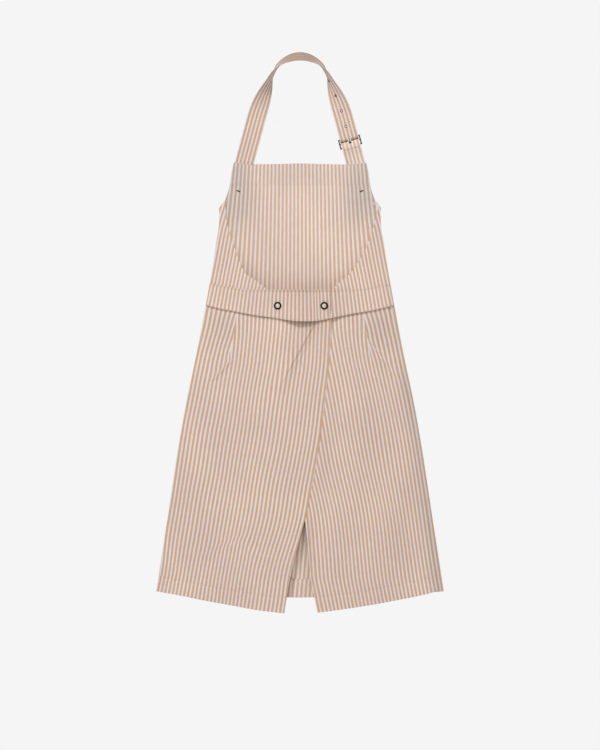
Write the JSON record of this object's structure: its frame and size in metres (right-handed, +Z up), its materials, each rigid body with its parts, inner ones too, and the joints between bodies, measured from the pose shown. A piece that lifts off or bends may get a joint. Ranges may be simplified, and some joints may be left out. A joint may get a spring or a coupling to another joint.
{
  "type": "wrap apron",
  "caption": "Halter-neck wrap apron in striped cotton, with a buckled neck strap, scooped low back and a lapped back skirt closed by snaps.",
  "frame": {"origin": "underside of the neck strap's arch at its middle, where the apron hangs on a hook or a neck", "axes": "+Z up, +X across the width to the wearer's right as seen from behind, -Y out of the wearer's back where the wraps lap"},
  "size_m": [0.5748, 0.0621, 1.123],
  "materials": {
    "striped_cotton": "matt woven poplin, tan and white yarn-dyed stripe",
    "striped_cotton_inside": "matt woven poplin, inner side of the same stripe",
    "stitching": "matt sewing thread",
    "tack_thread": "black bar-tack thread",
    "dark_metal": "gunmetal plating, worn at the edges",
    "snap_face": "pale polished nickel",
    "snap_metal": "satin nickel",
    "eyelet_thread": "grey buttonhole-stitched eyelet"
  },
  "bodies": {
    "neck_strap": {"neck_strap": "striped_cotton", "strap_eyelets": "eyelet_thread", "buckle_strap": "striped_cotton_inside", "buckle_strap_stitching": "stitching"},
    "buckle_frame": {"buckle_frame": "dark_metal"},
    "buckle_tongue": {"buckle_tongue": "dark_metal"},
    "front": {"bib_panel": "striped_cotton_inside", "bib_top_facing": "striped_cotton_inside", "bib_bar_tacks": "tack_thread", "front_waistband": "striped_cotton", "front_skirt": "striped_cotton_inside"},
    "left_wrap": {"left_back_yoke": "striped_cotton", "left_yoke_facing": "striped_cotton_inside", "left_waistband": "striped_cotton", "left_skirt_wrap": "striped_cotton", "snap_rings": "dark_metal", "snap_caps": "snap_face", "snap_sockets": "snap_metal"},
    "right_wrap": {"right_back_yoke": "striped_cotton", "right_yoke_facing": "striped_cotton_inside", "right_waistband": "striped_cotton", "right_skirt_wrap": "striped_cotton", "snap_studs": "snap_metal", "snap_stud_rings": "dark_metal"}
  },
  "joints": [
    {"name": "bib_swing", "type": "hinge", "parent": "neck_strap", "child": "front", "pos_m": [0, 0.0016, -0.2063], "axis": [1, 0, 0], "range_deg": [-45, 45]},
    {"name": "left_wrap_open", "type": "hinge", "parent": "front", "child": "left_wrap", "pos_m": [-0.1575, 0, -0.293], "axis": [-0.1677, 0, -0.9858], "range_deg": [0, 120]},
    {"name": "right_wrap_open", "type": "hinge", "parent": "front", "child": "right_wrap", "pos_m": [0.1575, 0, -0.293], "axis": [-0.1677, 0, 0.9858], "range_deg": [0, 54]},
    {"name": "buckle_tilt", "type": "hinge", "parent": "neck_strap", "child": "buckle_frame", "pos_m": [0.10014, 0.0016, -0.16213], "axis": [0.9659, 0, 0.2588], "range_deg": [-5, 5]},
    {"name": "tongue_lift", "type": "hinge", "parent": "buckle_frame", "child": "buckle_tongue", "pos_m": [0.10014, 0.0016, -0.16213], "axis": [-0.9659, 0, -0.2588], "range_deg": [0, 14]}
  ],
  "couplings": [
    {"joint": "right_wrap_open", "follows": "left_wrap_open", "ratio": 0.45}
  ]
}
